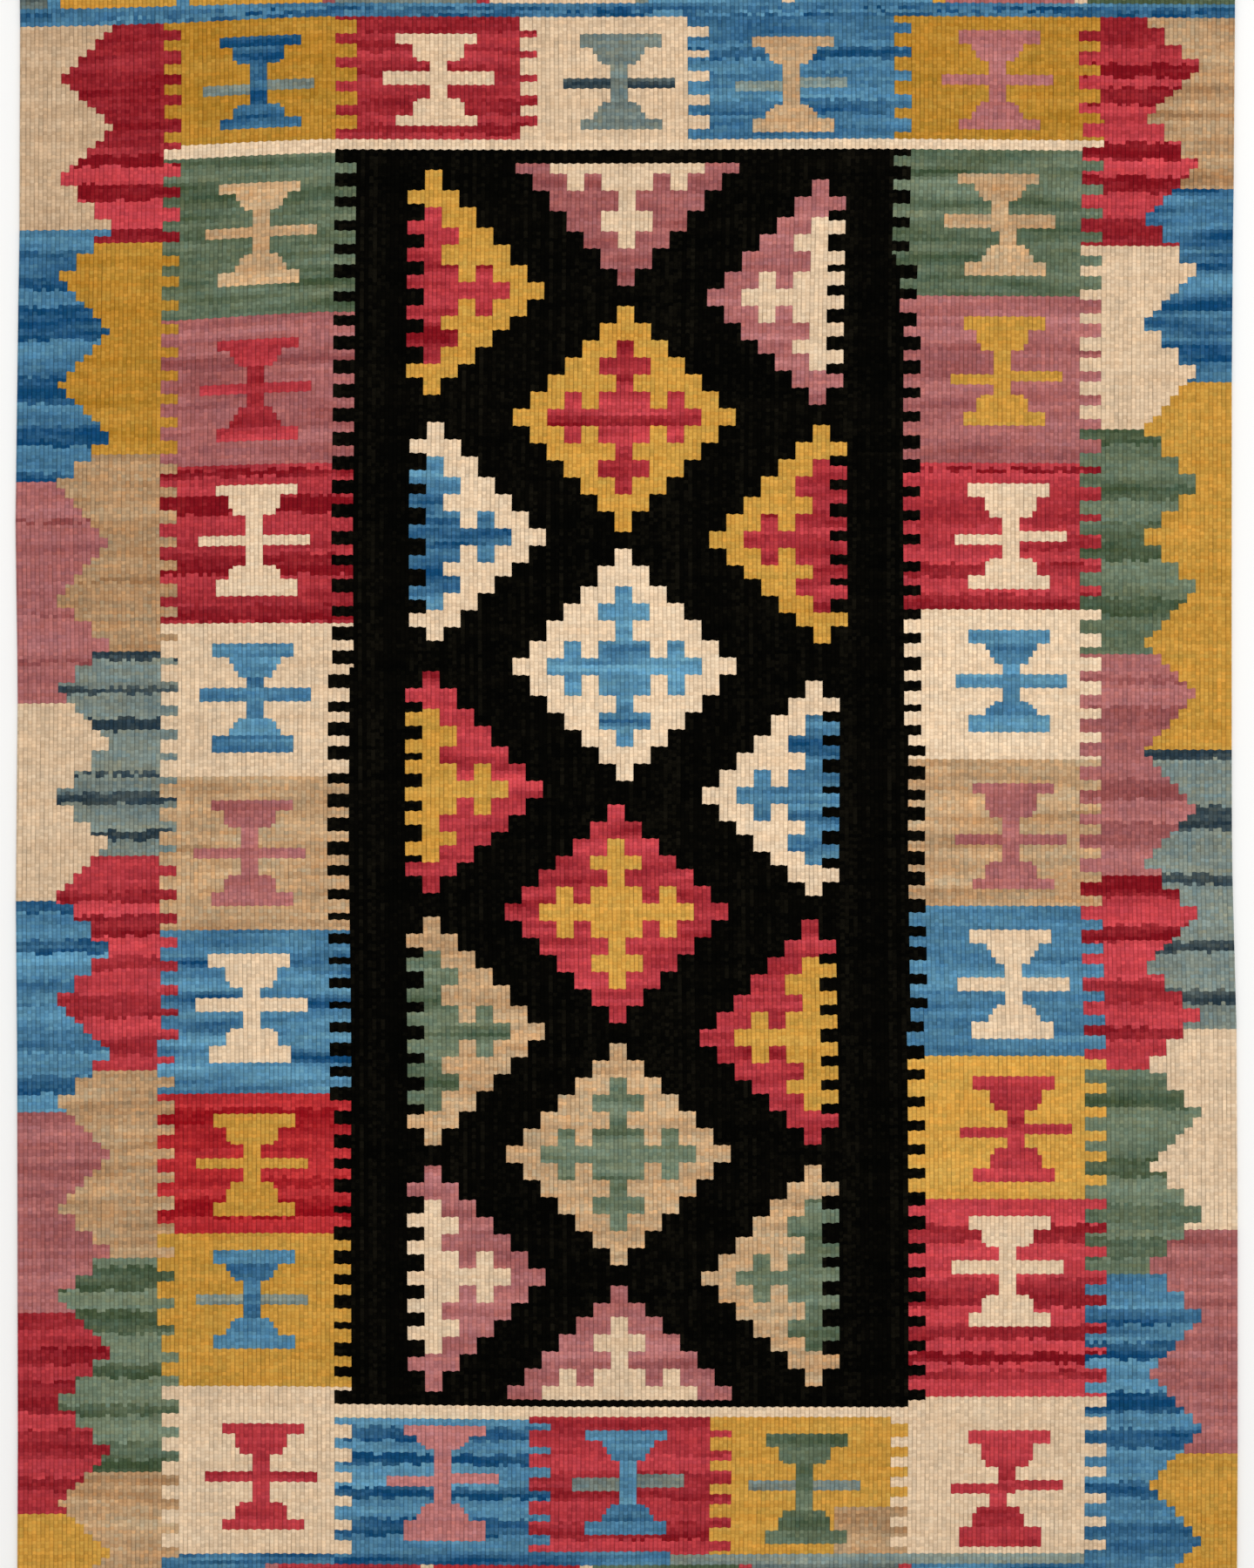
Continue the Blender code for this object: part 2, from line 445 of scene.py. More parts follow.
weave_end(FAR_GUARD_MM[0], FAR_WEB_MM, FAR_NOTCHES, FAR_BASES, FAR_OUTERS, 0, RIBS)
weave_end(NEAR_GUARD_MM[1], CLOTH_END_MM, NEAR_NOTCHES, NEAR_BASES, NEAR_OUTERS, left_border, right_border)

print(len(areas), "areas with the end borders")

# %% [markdown]
# ## The boxes
#
# Round the field runs a ring of boxes, each with one figure like an hourglass: seven bars of
# different width on the same middle rib. The weaver counted ribs for the widths but judged the
# heights by eye, so the widths are shared and each figure has its own heights.

# %% The grounds of the boxes
FIELD_BOTTOM_MM = 1283.5
LINE_TOP_MM = 241.5    # where the cream line above the field starts
LINE_BOTTOM_MM = 1292  # where the one below it ends
BOXES_TOP_MM = LINE_TOP_MM + 8
BEIGE_FROM_RIB = 188   # the last box at the near end has a beige corner from here on
BEIGE_TOP_MM = 1364
# These shades too are partly painted shade: the left boxes are set deeper than the right ones, painting the
# light falling off towards the left.
LEFT_BOXES = [
    ("green", {385: 36}),
    ("mauve", {508: 38}),
    ("red", {512: 45, 516: 0, 532: 50, 548: 0, 562: 50, 581: 40, 596: 5, 608: 50, 622: 30, 635: 15,
        639: 40}),
    ("cream", {764: 60}),
    ("beige", {890: 60}),
    ("blue", {1025: 42}),
    ("scarlet", {1036: 45, 1051: 10, 1071: 30, 1092: 50, 1100: 20, 1110: 45, 1126: 10, 1141: 50}),
    ("yellow", {1266: 50}),
    ("cream", {NEAR_GUARD_MM[1]: 60}),
]
RIGHT_BOXES = [
    ("green", {369: 45}),
    ("mauve", {506: 45}),
    ("red", {509: 70, 513: 10, 519: 65, 538: 45, 556: 30, 565: 60, 577: 30, 587: 65, 600: 25, 612: 60,
        620: 35, 626: 10}),
    ("cream", {750: 85}),
    ("beige", {872: 60}),
    ("blue", {886: 62, 915: 45, 940: 60, 975: 45, 995: 40}),
    ("yellow", {1112: 85}),
    ("red", {1131: 75, 1146: 25, 1160: 75, 1177: 60, 1199: 25, 1215: 75, 1225: 20, 1236: 75, 1245: 10,
        1252: 70, 1258: 20, 1274: 70}),
    ("cream", {NEAR_GUARD_MM[1]: 60}),
]
far_joins = [
    left_border, left_field,
    comb_join([(0, 115, 119)], [-14, 168, 350], 7.2, 5),
    comb_join([(0, 154, 159)], [-24, 166, 356], 9.0, 6),
    right_field, right_border,
]
near_joins = [
    left_field,
    comb_join([(0, 117, 122)], [1111, 1296, 1481], 8.0, 7),
    comb_join([(0, 159, 164)], [1115, 1300, 1485], 9.0, 8),
    comb_join([(0, 201, 205)], [1130, 1298, 1466], 8.0, 9),
]
FAR_BOXES = [
    ("yellow", {LINE_TOP_MM: 18}),
    ("red", {152: 15, 168: 35, 178: 50, 186: 15, 206: 35, 218: 15, 228: 50, 234: 15, 242: 40}),
    ("cream", {LINE_TOP_MM: 50}),
    ("blue", {158: 25, 164: 55, 174: 20, 184: 45, 196: 30, 206: 55, 217: 20, 228: 40, 242: 30}),
    ("yellow", {LINE_TOP_MM: 22}),
]
NEAR_BOXES = [
    ("blue", {1298: 60, 1310: 20, 1322: 65, 1330: 15, 1348: 60, 1356: 10, 1374: 65, 1388: 20, 1408: 50}),
    ("red", {1300: 25, 1322: 45, 1336: 60, 1350: 35, 1358: 15, 1376: 45, 1392: 20, 1408: 60}),
    ("yellow", {NEAR_GUARD_MM[1]: 62}),
]

for box, left, right in zip(FAR_BOXES, far_joins, far_joins[1:]):
    weave(*box, left, right, FAR_GUARD_MM[0])
weave_down(LEFT_BOXES, left_border, left_field, BOXES_TOP_MM)
weave_down(RIGHT_BOXES, right_field, right_border, BOXES_TOP_MM)
for box, left, right in zip(NEAR_BOXES, near_joins, near_joins[1:]):
    weave(*box, left, right, LINE_BOTTOM_MM)
weave("beige", {NEAR_GUARD_MM[1]: 45}, BEIGE_FROM_RIB, near_joins[-1], BEIGE_TOP_MM)
weave("cream", {NEAR_GUARD_MM[1]: 60}, near_joins[-1], right_field, LINE_BOTTOM_MM)

# The guard stripes come last, as the boxes reach under them.
weave("blue", {131: 40, 134: 15, 138: 40, FAR_GUARD_MM[1]: 15}, 0, RIBS, FAR_GUARD_MM[0])
weave("blue", {NEAR_GUARD_MM[1]: 25}, left_border, left_field, NEAR_GUARD_MM[0])
weave("blue", {NEAR_GUARD_MM[1]: 45}, left_field, SLATE_FROM_RIB, NEAR_GUARD_MM[0])
weave("slate", {NEAR_GUARD_MM[1]: 70}, SLATE_FROM_RIB, right_border, NEAR_GUARD_MM[0])

print(len(areas), "areas with the boxes")

# %% The hourglass figures
BAR_RIBS = 19
BLOCK_RIBS = 12
NECK_RIBS = 4
ARM_RIBS = 26
FIGURE_RIBS = [BAR_RIBS, BLOCK_RIBS, NECK_RIBS, ARM_RIBS, NECK_RIBS, BLOCK_RIBS, BAR_RIBS]
ARMS = 3           # place of the long middle bar in that list
THINNEST_BAR_ROWS = 3
FIGURE_CALM = 0.6  # streakiness of a figure beside that of its ground
BAR_UNEVEN = 0.20  # how much the dye differs from bar to bar, for a fully streaky yarn
FIGURES = [
    # yarn, shade, middle rib, top, heights of the seven bars, ribs that a block loses towards
    # the neck, arms of another lot or yarn, ribs that the lower half is shifted
    ("blue", 0.12, 54.4, 155, (5, 18, 14, 8, 11, 12, 9), 1, ("slate", 0.6)),
    ("cream", 0.55, 95.6, 153, (7, 15, 11, 10, 11, 14, 8), 1),
    ("slate", 0.6, 138.1, 155, (10, 13, 13, 9, 11, 12, 9), 2, ("slate", 0.02)),
    ("beige", 0.55, 178.2, 157, (8, 13, 13, 7, 13, 12, 11), 2, ("slate", 0.85)),
    ("mauve", 0.6, 226.2, 150, (12, 13, 13, 8, 15, 12, 9), 2),
    ("beige", 0.75, 54.6, 276, (8, 14, 15, 8, 13, 16, 11), 2),
    ("red", 0.45, 54.3, 405, (6, 15, 15, 9, 11, 15, 13), 2),
    ("cream", 0.7, 54.2, 524, (9, 16, 17, 9, 15, 12, 13), 1),
    ("blue", 0.55, 53.8, 655, (10, 17, 10, 11, 14, 14, 13), 2),
    ("mauve", 0.5, 53.0, 784, (7, 16, 15, 8, 15, 15, 11), 1),
    ("cream", 0.7, 52.7, 911, (10, 17, 8, 12, 15, 14, 13), 1),
    ("yellow", 0.5, 53.4, 1042, (10, 16, 11, 8, 11, 18, 11), 1),
    ("blue", 0.4, 53.4, 1155, (10, 14, 10, 10, 10, 14, 13), 2, ("slate", 0.75)),
    ("red", 0.42, 55.2, 1297, (8, 17, 13, 10, 15, 14, 11), 1),
    ("beige", 0.65, 226.6, 268, (9, 14, 12, 11, 13, 14, 12), 2, None, 2),
    ("yellow", 0.55, 228.5, 386, (12, 15, 18, 8, 13, 13, 12), 1),
    ("cream", 0.7, 229.9, 524, (10, 18, 10, 10, 13, 14, 12), 1),
    ("blue", 0.58, 229.9, 644, (11, 17, 9, 10, 12, 12, 14), 2),
    ("mauve", 0.5, 230.1, 769, (10, 18, 15, 9, 14, 13, 10), 1),
    ("cream", 0.7, 229.6, 890, (12, 16, 11, 11, 13, 13, 15), 2),
    ("red", 0.5, 229.7, 1012, (9, 18, 10, 10, 11, 16, 12), 1),
    ("cream", 0.7, 228.1, 1127, (9, 16, 11, 12, 16, 14, 11), 1),
    ("red", 0.5, 228.1, 1301, (13, 19, 9, 10, 14, 16, 16), 1, None, -2),
    ("mauve", 0.8, 97.0, 1299, (9, 11, 18, 10, 15, 14, 16), 2),
    ("blue", 0.5, 139.7, 1303, (9, 14, 12, 11, 15, 12, 12), 2, ("slate", 0.5)),
    ("green", 0.35, 181.1, 1304, (11, 14, 15, 9, 14, 18, 10), 1, ("slate", 0.55)),
]


def hourglass(yarn, shade, middle, top_mm, heights, taper, arms=None, lower_shift=0):
    """Weave the seven bars of one figure below each other. A block loses a rib or two at each
    side, step by step towards the neck, and the left arm often lies a row lower than the right
    one."""
    shades = shade + BAR_UNEVEN * YARNS[yarn][2] * rng.uniform(-1, 1, len(heights))
    first = row_at(top_mm, middle)
    down_mm = top_mm
    for part, (wide, height) in enumerate(zip(FIGURE_RIBS, heights)):
        down_mm += height
        last = max(row_at(down_mm, middle), first + THINNEST_BAR_ROWS)
        centre = middle + (lower_shift if part > ARMS else 0)
        left = round(centre - wide / 2)
        right = left + wide
        if part == ARMS:
            lag = rng.choice([0, 1])
            arm_area = new_area(*arms) if arms else new_area(yarn, shades[part], FIGURE_CALM)
            chart[block(left, round(centre), first + lag, last + lag)] = arm_area
            chart[block(round(centre), right, first, last)] = arm_area
            left = round(centre - NECK_RIBS / 2)
            chart[block(left, left + NECK_RIBS, first, last + 1)] = new_area(yarn, shade, FIGURE_CALM)
        else:
            from_bar = rows - first if part < ARMS else last - 1 - rows
            inset = np.clip(3 * from_bar // (last - first) - 2 + taper, 0, taper) * (wide == BLOCK_RIBS)
            area = new_area(yarn, shades[part], FIGURE_CALM)
            chart[block(left + inset, right - inset, first, last)] = area
        first = last


for figure in FIGURES:
    hourglass(*figure)

print(len(FIGURES), "figures,", len(areas), "areas so far")

# %% [markdown]
# ## The field and its diamonds
#
# The black field holds three columns of diamonds, each worked on a small grid of 13 by 13
# steps. A step is four ribs wide and about 14 mm high. With i counted across from the middle
# and j down from it, a step is in the diamond when |i| + |j| is at most 6, and in its inner
# cross when |i| + |j| is at most 4 and i is nought, j is nought, or both are odd. The side
# columns are cut in half by an upright join, which is combed like the others.

# %% The field
HALF_STEPS = 6   # steps from the middle of a diamond to its point
CROSS_STEPS = 4  # steps from its middle to the end of the inner cross
CENTRE_DIAMONDS = [
    # outer yarn, shade, inner yarn, shade, first rib of the middle step, top, middle line, bottom
    ("mauve", 0.3, "cream", 0.6, 138, None, 259.5, 362),
    ("yellow", 0.65, "red", 0.35, 138, 378, 470, 562),
    ("cream", 0.85, "blue", 0.68, 138, 577, 675, 769),
    ("red", 0.55, "yellow", 0.8, 136, 787, 877, 968),
    ("beige", 0.75, "green", 0.6, 136, 983, 1075, 1167),
    ("mauve", 0.5, "cream", 0.6, 136, 1183, 1276, None),
]
LEFT_DIAMONDS = [
    # the same, then the number of teeth on the cut side
    ("yellow", 0.6, "red", 0.45, 93, 266, 365, 450, 7),
    ("cream", 0.75, "blue", 0.32, 94, 474, 567, 654, 7),
    ("red", 0.5, "yellow", 0.6, 93, 678, 776, 860, 8),
    ("beige", 0.7, "green", 0.5, 93, 880, 973, 1068, 8),
    ("mauve", 0.5, "cream", 0.7, 93, 1085, 1175, 1269, 7),
]
RIGHT_DIAMONDS = [
    ("mauve", 0.5, "cream", 0.65, 183, 274, 370, 459, 8),
    ("yellow", 0.65, "red", 0.4, 184, 475, 570, 655, 8),
    ("cream", 0.8, "blue", 0.38, 182, 686, 780, 864, 8),
    ("red", 0.45, "yellow", 0.65, 181, 883, 980, 1066, 8),
    ("beige", 0.7, "green", 0.5, 181, 1085, 1177, 1265, 7),
]
CUT_STEP_MM = (11, 9)       # half the middle step of the last diamond and of the first one
HALF_TOOTH_MM = 10.5        # teeth on the cut side of a half diamond
HALF_TOOTH_UNEVEN = 0.8     # rows by which such a tooth is off its place
CROSS_THREAD_ROWS = 3       # rows in the middle of a cross that have a lot of their own
CROSS_THREAD_UNEVEN = 0.12  # how much its shade may differ


def step_heights(top_mm, middle_mm, bottom_mm):
    """Fourteen lines that bound the thirteen lines of steps, evenly spread above and below the
    middle. A diamond cut at its middle keeps only those of its own half."""
    nothing = np.full(HALF_STEPS + 1, middle_mm)
    if top_mm is None:
        return np.concatenate([nothing, np.linspace(middle_mm + CUT_STEP_MM[1], bottom_mm, HALF_STEPS + 1)])
    if bottom_mm is None:
        return np.concatenate([np.linspace(top_mm, middle_mm - CUT_STEP_MM[0], HALF_STEPS + 1), nothing])
    step_mm = (bottom_mm - top_mm) / (2 * HALF_STEPS + 1)
    upper = np.linspace(top_mm, middle_mm - step_mm / 2, HALF_STEPS + 1)
    lower = np.linspace(middle_mm + step_mm / 2, bottom_mm, HALF_STEPS + 1)
    return np.concatenate([upper, lower])


def diamond(outer, outer_shade, inner, inner_shade, middle, top_mm, middle_mm, bottom_mm,
            teeth=0, side=0):
    """Weave a diamond by the formula above, or for side 1 or -1 only the half to the right or
    left of its middle step, with teeth of the middle step's yarns on the cut side."""
    lines = [row_at(line, middle) for line in step_heights(top_mm, middle_mm, bottom_mm)]
    step_down = np.searchsorted(lines, rows, side="right") - 1 - HALF_STEPS
    step_across = (ribs - middle) // STEP_RIBS
    present = (rows >= lines[0]) & (rows < lines[-1])
    if side:
        present = present & (step_across * side >= 0)
        tooth_rows = HALF_TOOTH_MM / FLOAT_MM
        spread = np.linspace(lines[1], lines[-2] - tooth_rows, teeth)
        uneven = rng.uniform(-HALF_TOOTH_UNEVEN, HALF_TOOTH_UNEVEN, teeth)
        uneven[[0, -1]] = 0
        starts = np.round(spread + uneven)
        tooth = ((rows >= starts) & (rows < starts + round(tooth_rows))).any(axis=1)
        present = present | (tooth[:, None] & (step_across == -side))
        step_across = np.where(step_across == -side, 0, step_across)
    reach = np.abs(step_across) + np.abs(step_down)
    barbs = (step_across % 2 == 1) & (step_down % 2 == 1)
    cross = (reach <= CROSS_STEPS) & ((step_across == 0) | (step_down == 0) | barbs)
    chart[present & (reach <= HALF_STEPS)] = new_area(outer, outer_shade)
    chart[present & cross] = new_area(inner, inner_shade)
    thread = np.abs(rows - row_at(middle_mm, middle)) < CROSS_THREAD_ROWS / 2
    thread_shade = inner_shade + rng.uniform(-CROSS_THREAD_UNEVEN, CROSS_THREAD_UNEVEN)
    chart[present & cross & thread & (step_down == 0)] = new_area(inner, thread_shade)


weave("black", {FIELD_BOTTOM_MM: 10}, left_field, right_field, LINE_TOP_MM + 6)
for line in CENTRE_DIAMONDS:
    diamond(*line)
for line in LEFT_DIAMONDS:
    diamond(*line, side=1)
for line in RIGHT_DIAMONDS:
    diamond(*line, side=-1)
weave("cream", {LINE_TOP_MM + 11: 70}, left_border, left_field, LINE_TOP_MM)
weave("cream", {BOXES_TOP_MM: 70}, left_field, right_border, LINE_TOP_MM)
weave("cream", {LINE_BOTTOM_MM: 70}, left_field, right_field, FIELD_BOTTOM_MM)

print(len(areas), "areas in the whole chart")

# %% [markdown]
# ## From chart to cloth
#
# The cloth is one closed mesh with a real face, back and edges. A column gets a point only where
# the colour changes on it or the cloth bends, which keeps the mesh to an ordinary size. A crown
# has the points of its own rib, and a groove has those of both its ribs, so each half rib is a
# strip between a coarse column and a fine one. The strip is zipped up: each fine stretch makes a
# triangle with the coarse point level with its start or above it, and each coarse stretch makes
# one with the fine point at its end.

# %% Which points each column has
BEND_ROWS = 110  # rows from one bend of the cloth to the next

crown_breaks = np.zeros((ROWS + 1, RIBS), bool)
crown_breaks[1:-1] = chart[1:] != chart[:-1]
crown_breaks[::BEND_ROWS] = True
crown_breaks[[0, 1, -2, -1]] = True
groove_breaks = np.zeros((ROWS + 1, RIBS + 1), bool)
groove_breaks[:, :-1] |= crown_breaks
groove_breaks[:, 1:] |= crown_breaks

has_point = np.zeros((ROWS + 1, COLUMNS), bool)
grooves = FIRST_GROOVE + half_ribs[::2]
crowns = FIRST_GROOVE + half_ribs[1::2]
has_point[:, crowns] = crown_breaks
has_point[:, grooves] = groove_breaks
has_point[:, :FIRST_GROOVE] = groove_breaks[:, :1]
has_point[:, -FIRST_GROOVE:] = groove_breaks[:, -1:]

print(int(has_point.sum()), "points on the face,", int(crown_breaks.sum() / RIBS), "on a crown")

# %% Where the points lie
CROWN_UNEVEN_MM = 0.06  # how much the crowns differ in height

column_of, row_of = np.nonzero(has_point.T)
points_a_layer = len(row_of)
is_crown = np.isin(np.arange(COLUMNS), crowns)
rib_of_column = np.clip((np.arange(COLUMNS) - FIRST_GROOVE) // 2, 0, RIBS - 1)
inner_row = (row_of > 0) & (row_of < ROWS)
brick = np.where(rib_of_column % 2 == 1, BRICK_SHIFT, -BRICK_SHIFT) * is_crown
along = (row_of + brick[column_of] * inner_row) / ROWS
flat_x, flat_y = place_on_floor(column_share[column_of], along)

rise = np.sqrt(1 - (2 * cord_turns - 1) ** 2)
cord_top = CORD_THICKNESS * (CORD_SIDE + (1 - CORD_SIDE) * rise)
cord_floor = CORD_THICKNESS * CORD_SIDE * (1 - rise)
groove = RIB_DEPTH * (half_ribs % 2 == 0)
top_height = np.concatenate([cord_top, CLOTH_THICKNESS - groove, cord_top[::-1]])
floor_height = np.concatenate([cord_floor, groove, cord_floor[::-1]])
uneven = MM * CROWN_UNEVEN_MM * rng.standard_normal(points_a_layer) * is_crown[column_of] * inner_row
middle_height = CLOTH_THICKNESS / 2
thinning = np.where(inner_row, 1.0, END_THINNING)
top_z = middle_height + (top_height[column_of] - middle_height + uneven) * thinning
floor_z = middle_height + (floor_height[column_of] - middle_height) * thinning
points = np.concatenate([np.stack([flat_x, flat_y, z], axis=1) for z in (top_z, floor_z)])

# %% Zip the strips together
number = np.full((ROWS + 1, COLUMNS), -1)
number[row_of, column_of] = np.arange(points_a_layer)
at_or_above = np.maximum.accumulate(number, axis=0)


def zip_strips(coarse, fine):
    """Triangles of many strips at once, each between a coarse column and a fine one that has a
    point wherever the coarse one does. Gives their points, facing up, and their rows and ribs."""
    start, strip = np.nonzero(has_point[:-1, fine])
    upper = number[start, fine[strip]]
    fans = np.stack([at_or_above[start, coarse[strip]], upper + 1, upper], axis=1)
    closer_start, closer_strip = np.nonzero(has_point[:-1, coarse])
    upper = number[closer_start, coarse[closer_strip]]
    level_with_end = number[row_of[upper + 1], fine[closer_strip]]
    triangles = np.concatenate([fans, np.stack([upper, upper + 1, level_with_end], axis=1)])
    start = np.concatenate([start, closer_start])
    strip = np.concatenate([strip, closer_strip])
    flip = fine[strip] < coarse[strip]
    triangles[flip] = triangles[flip][:, ::-1]
    return triangles, np.stack([start, rib_of_column[coarse[strip]]], axis=1)


cords = np.arange(FIRST_GROOVE)
face_up, cells_up = zip_strips(
    np.concatenate([crowns, crowns, cords, COLUMNS - 1 - cords]),
    np.concatenate([crowns - 1, crowns + 1, cords + 1, COLUMNS - 2 - cords]),
)

# The back has the same strips, turned over. The cords' outermost points belong to both.
inner_column = (column_of > 0) & (column_of < COLUMNS - 1)
to_floor = np.arange(points_a_layer) + points_a_layer * inner_column
face_down = to_floor[face_up[:, ::-1]]

# %% Close the two ends
def end_wall(row):
    """Triangles of the wall at one end, two between each pair of columns, and their rows and
    ribs. The outermost ones have a side of no length, and are left out."""
    left, right = number[row, :-1], number[row, 1:]
    wall = np.concatenate([
        np.stack([left, right, to_floor[right]], axis=1),
        np.stack([left, to_floor[right], to_floor[left]], axis=1),
    ])
    if row:
        wall = wall[:, ::-1]
    rib = np.tile(rib_of_column[:-1], 2)
    whole = (wall != np.roll(wall, 1, axis=1)).all(axis=1)
    cells = np.stack([np.full(len(rib), min(row, ROWS - 1)), rib], axis=1)
    return wall[whole], cells[whole]


far_wall, far_cells = end_wall(0)
near_wall, near_cells = end_wall(ROWS)
triangles = np.concatenate([face_up, face_down, far_wall, near_wall])
cells = np.concatenate([cells_up, cells_up, far_cells, near_cells])
used = np.unique(triangles)
renumber = np.full(len(points), -1)
renumber[used] = np.arange(len(used))

print(len(triangles), "triangles and", len(used), "points in the rug")

# %% Make the mesh
GOLDEN_SHARE = 0.618034  # steps of this size keep the seeds of the areas apart

mesh = bpy.data.meshes.new("rug_cloth")
mesh.from_pydata(points[used].tolist(), [], renumber[triangles].tolist())
mesh.update()
rug = bpy.data.objects.new("rug_cloth", mesh)
bpy.context.collection.objects.link(rug)


def face_attribute(name, kind, field, values):
    """Give each face of the rug the value of its area."""
    layer = mesh.attributes.new(name, kind, "FACE")
    layer.data.foreach_set(field, np.array(values, np.float32)[area_of_face].ravel())


def linear(colour):
    """Linear light of sRGB numbers from 0 to 255, by the sRGB curve, with an alpha of 1."""
    part = np.array(colour) / 255
    return [*np.where(part <= 0.04045, part / 12.92, ((part + 0.055) / 1.055) ** 2.4), 1.0]


area_of_face = chart[cells[:, 0], cells[:, 1]]
seeds = np.arange(len(areas)) * GOLDEN_SHARE % 1.0 * 100
lots = [(shade, streaks, seed) for (_, shade, streaks, _), seed in zip(areas, seeds)]
face_attribute("deep", "FLOAT_COLOR", "color", [linear(YARNS[area[0]][0]) for area in areas])
face_attribute("pale", "FLOAT_COLOR", "color", [linear(YARNS[area[0]][1]) for area in areas])
face_attribute("lot", "FLOAT_VECTOR", "vector", lots)
face_attribute("drift", "FLOAT", "value", [area[3] for area in areas])

# %% [markdown]
# ## Two maps of the cloth
#
# The first map tells the finish which rib and which float it is on: one unit across for each
# rib, one unit along for each float. The second lays the face and the back side by side in a
# square, the face with the larger share, for anyone who wants the colours as a picture.

# %% The two maps
FACE_SHARE = 0.62  # share of the square's width for the face
MAP_GAP = 0.006
WALL_STRIP = 0.02  # strip at the top of the square for the two end walls

corners = triangles.ravel()
corner_column = np.tile(column_of, 2)[corners]
corner_row = np.tile(row_of, 2)[corners]
cord_units = (1 - cord_turns) * CORD_WIDTH * RIBS / (WIDTH - 2 * CORD_WIDTH)
rib_units = np.concatenate([-cord_units, half_ribs / 2, RIBS + cord_units[::-1]])
weave_map = mesh.uv_layers.new(name="weave")
weave_map.uv.foreach_set("vector", np.stack([rib_units[corner_column], corner_row], axis=1).ravel())

share_across = column_share[corner_column]
share_up = (1 - WALL_STRIP) * (1 - corner_row / ROWS) - MAP_GAP
face_u = MAP_GAP + share_across * (FACE_SHARE - 2 * MAP_GAP)
back_u = 1 - MAP_GAP - share_across * (1 - FACE_SHARE - 2 * MAP_GAP)
side_of_corner = np.repeat([0, 1, 2, 3], [face_up.size, face_down.size, far_wall.size, near_wall.size])
wall_u = MAP_GAP + share_across * (0.5 - 2 * MAP_GAP) + 0.5 * (side_of_corner == 3)
wall_v = np.where(corners < points_a_layer, 1 - MAP_GAP / 2, 1 - WALL_STRIP + MAP_GAP / 2)
picture_u = np.select([side_of_corner == 0, side_of_corner == 1], [face_u, back_u], wall_u)
picture_v = np.where(side_of_corner < 2, np.clip(share_up, MAP_GAP / 2, 1), wall_v)
picture_map = mesh.uv_layers.new(name="OFBake")
picture_map.uv.foreach_set("vector", np.stack([picture_u, picture_v], axis=1).ravel())
mesh.validate()

print("maps:", [layer.name for layer in mesh.uv_layers])

# %% [markdown]
# ## Writing shader maths as Python
#
# A material is a graph of nodes, and its maths reads best as expressions. The class below wraps
# one output of a node, so that a sum or a product adds a Math node. Colours go through Mix and
# Vector Math nodes instead.

# %% A small class for shader maths
def node_maths(operation):
    """Method of a value that adds one kind of Math node, with the value first."""
    def method(self, *others):
        return self.graph.add("ShaderNodeMath", dict(enumerate((self, *others))), operation=operation)
    return method


class Value:
    """One number in the node graph, with the operators that the finishes use."""

    def __init__(self, graph, socket):
        self.graph = graph
        self.socket = socket

    __add__ = __radd__ = node_maths("ADD")
    __sub__ = node_maths("SUBTRACT")
    __mul__ = __rmul__ = node_maths("MULTIPLY")
    __truediv__ = node_maths("DIVIDE")
    __pow__ = node_maths("POWER")
    __abs__ = node_maths("ABSOLUTE")
    floor = node_maths("FLOOR")
    at_least = node_maths("MAXIMUM")
    at_most = node_maths("MINIMUM")

    def __rsub__(self, other):
        return self * -1.0 + other

    def clamped(self):
        """The value kept between 0 and 1."""
        return self.at_least(0.0).at_most(1.0)


class Graph:
    """The nodes of one material."""

    def __init__(self, name):
        self.material = bpy.data.materials.new(name)
        self.material.use_nodes = True
        self.tree = self.material.node_tree
        self.shader = self.tree.nodes["Principled BSDF"]

    def add(self, kind, inputs=None, output=0, **settings):
        """Add a node with its settings and a number or a link for each of its inputs, by name
        or place. Gives one of its outputs."""
        node = self.tree.nodes.new(kind)
        for name, setting in settings.items():
            setattr(node, name, setting)
        for name, value in (inputs or {}).items():
            self.feed(node.inputs[name], value)
        return Value(self, node.outputs[output])

    def feed(self, socket, value):
        """Link a value to a socket, or set the socket to a plain number."""
        if isinstance(value, Value):
            self.tree.links.new(value.socket, socket)
        else:
            socket.default_value = value

    def parts(self, vector, count):
        """The first numbers of a vector."""
        return [self.add("ShaderNodeSeparateXYZ", {0: vector}, output=part) for part in range(count)]

    def vector(self, x, y, z):
        return self.add("ShaderNodeCombineXYZ", {0: x, 1: y, 2: z})

    def mix(self, factor, first, second):
        """Mix two colours."""
        return self.add("ShaderNodeMix", {0: factor, 6: first, 7: second}, output=2, data_type="RGBA")

    def noise(self, vector, scale=1.0, detail=2.0, rough=0.5):
        """Soft noise around 0, from about -1 to 1."""
        inputs = {"Vector": vector, "Scale": scale, "Detail": detail, "Roughness": rough}
        return (self.add("ShaderNodeTexNoise", inputs, noise_dimensions="3D") - 0.5) * 2.6

    def dice(self, vector):
        """A different number from -1 to 1 for every whole step of a vector."""
        raw = self.add("ShaderNodeTexWhiteNoise", {"Vector": vector}, noise_dimensions="3D")
        return raw * 2.0 - 1.0

    def set(self, name, value):
        """Feed or set one input of the shader."""
        self.feed(self.shader.inputs[name], value)
